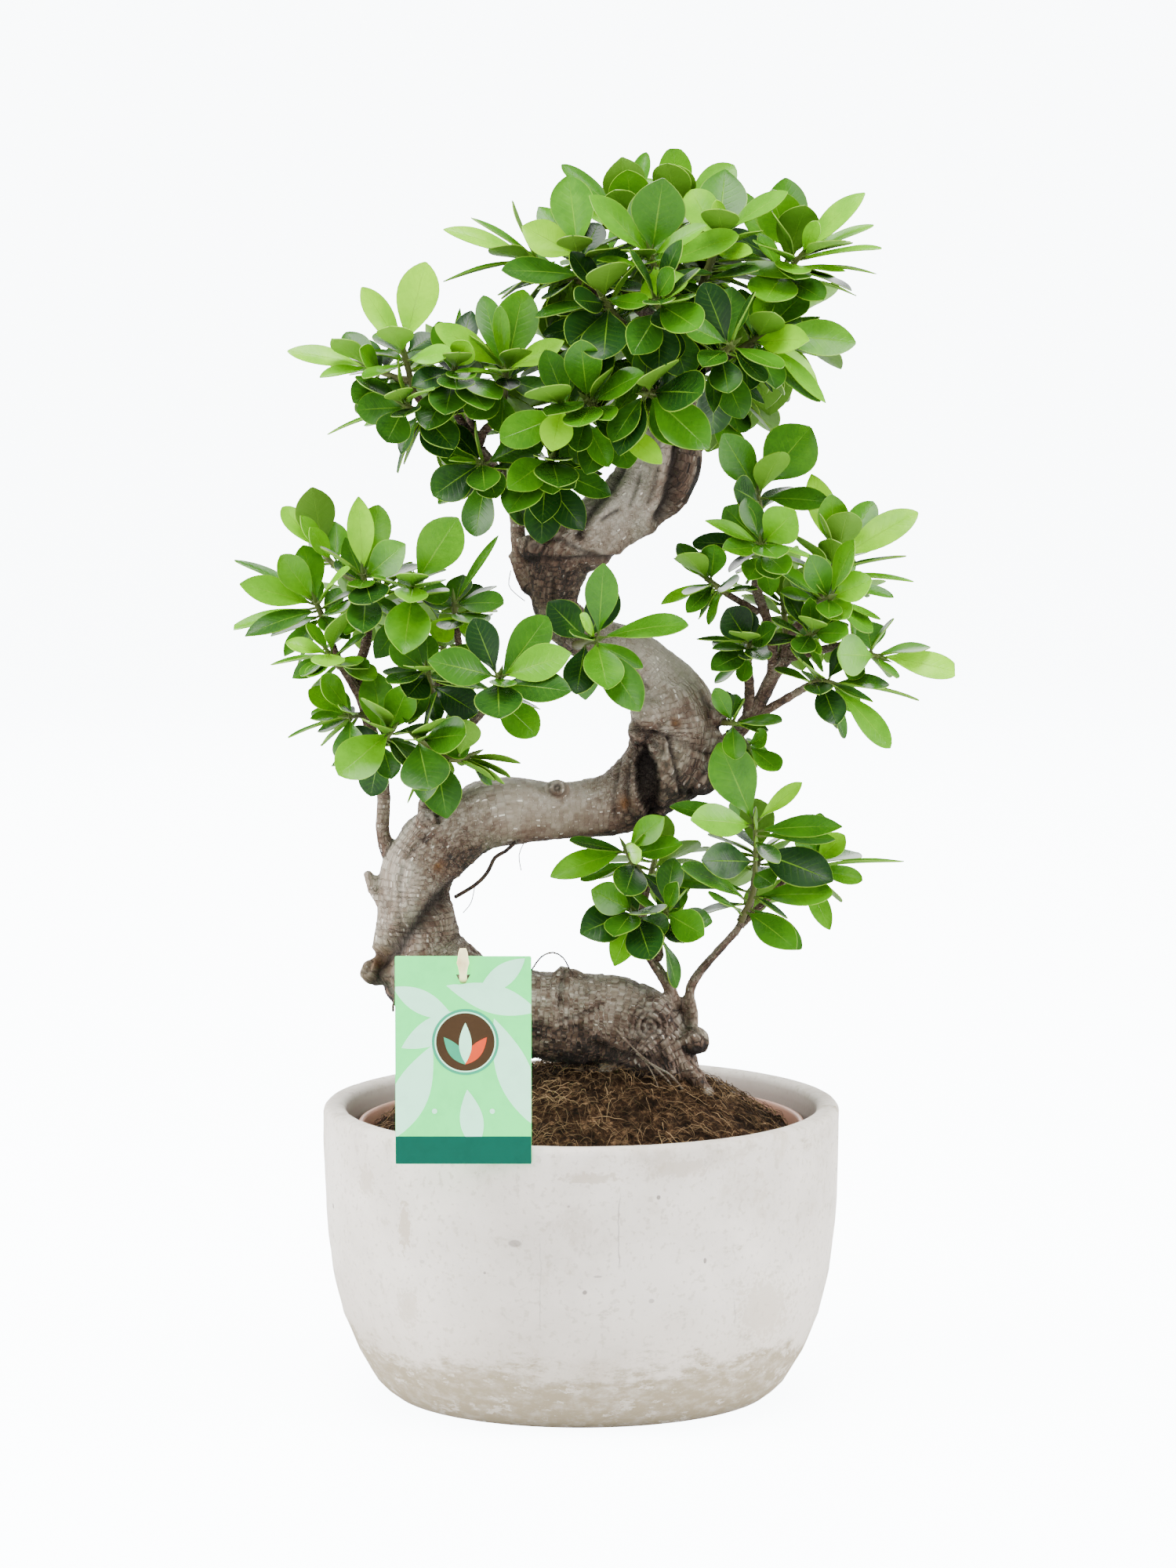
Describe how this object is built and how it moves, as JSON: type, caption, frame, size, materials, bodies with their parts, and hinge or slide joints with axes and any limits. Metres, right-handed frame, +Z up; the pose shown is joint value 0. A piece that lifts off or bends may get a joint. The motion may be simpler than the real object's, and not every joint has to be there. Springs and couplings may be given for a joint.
{
  "type": "potted ginseng ficus",
  "caption": "Bonsai-like potted fig with a thick S-shaped trunk, pads of glossy oval leaves, a nursery pot inside a round cement planter, and a card label on a stake.",
  "frame": {"origin": "centre of the cement planter's flat base", "axes": "+Z up, +X to the viewer's right as seen from the front, the front with the label faces -Y"},
  "size_m": [0.3589, 0.2639, 0.624],
  "materials": {
    "cement": "matte pale cement, slightly pitted and stained",
    "nursery": "satin terracotta-coloured plastic",
    "soil": "loose brown peat with coir fibres",
    "bark": "grey-brown wrinkled bark with pale lenticels",
    "card": "coated card, pale green",
    "stake": "beige moulded plastic",
    "leaf_dark": "glossy dark green, leathery",
    "leaf_mid": "glossy mid green, leathery",
    "leaf_young": "glossy yellow-green, leathery"
  },
  "bodies": {
    "root": {"cement_planter": "cement", "nursery_pot": "nursery", "soil": "soil", "trunk": "bark", "label_stake": "stake", "label_card": "card", "crown_spray_01": "leaf_young", "crown_spray_02": "leaf_young", "crown_spray_03": "leaf_mid", "crown_spray_04": "leaf_young", "crown_spray_05": "leaf_young", "crown_spray_06": "leaf_mid", "crown_spray_07": "leaf_dark", "crown_spray_08": "leaf_dark", "crown_spray_09": "leaf_dark", "crown_spray_10": "leaf_mid", "crown_spray_11": "leaf_dark", "crown_spray_12": "leaf_dark", "crown_spray_13": "leaf_mid", "crown_spray_14": "leaf_young", "crown_spray_15": "leaf_mid", "crown_spray_16": "leaf_dark", "crown_spray_17": "leaf_dark", "upper_left_spray_01": "leaf_young", "upper_left_spray_02": "leaf_mid", "upper_left_spray_03": "leaf_dark", "upper_left_spray_04": "leaf_mid", "upper_left_spray_05": "leaf_dark", "upper_left_spray_06": "leaf_mid", "upper_left_spray_07": "leaf_dark", "left_spray_01": "leaf_mid", "left_spray_02": "leaf_mid", "left_spray_03": "leaf_mid", "left_spray_04": "leaf_mid", "left_spray_05": "leaf_young", "left_spray_06": "leaf_mid", "left_spray_07": "leaf_mid", "left_spray_08": "leaf_mid", "left_spray_09": "leaf_dark", "left_spray_10": "leaf_mid", "left_spray_11": "leaf_dark", "centre_spray_01": "leaf_mid", "centre_spray_02": "leaf_mid", "right_spray_01": "leaf_mid", "right_spray_02": "leaf_young", "right_spray_03": "leaf_mid", "right_spray_04": "leaf_mid", "right_spray_05": "leaf_dark", "right_spray_06": "leaf_young", "right_spray_07": "leaf_mid", "right_spray_08": "leaf_mid", "right_spray_09": "leaf_mid", "right_spray_10": "leaf_mid", "low_right_spray_01": "leaf_mid", "low_right_spray_02": "leaf_dark", "low_right_spray_03": "leaf_dark", "low_right_spray_04": "leaf_mid", "low_right_spray_05": "leaf_young", "low_right_spray_06": "leaf_dark", "low_right_spray_07": "leaf_dark"}
  },
  "joints": []
}
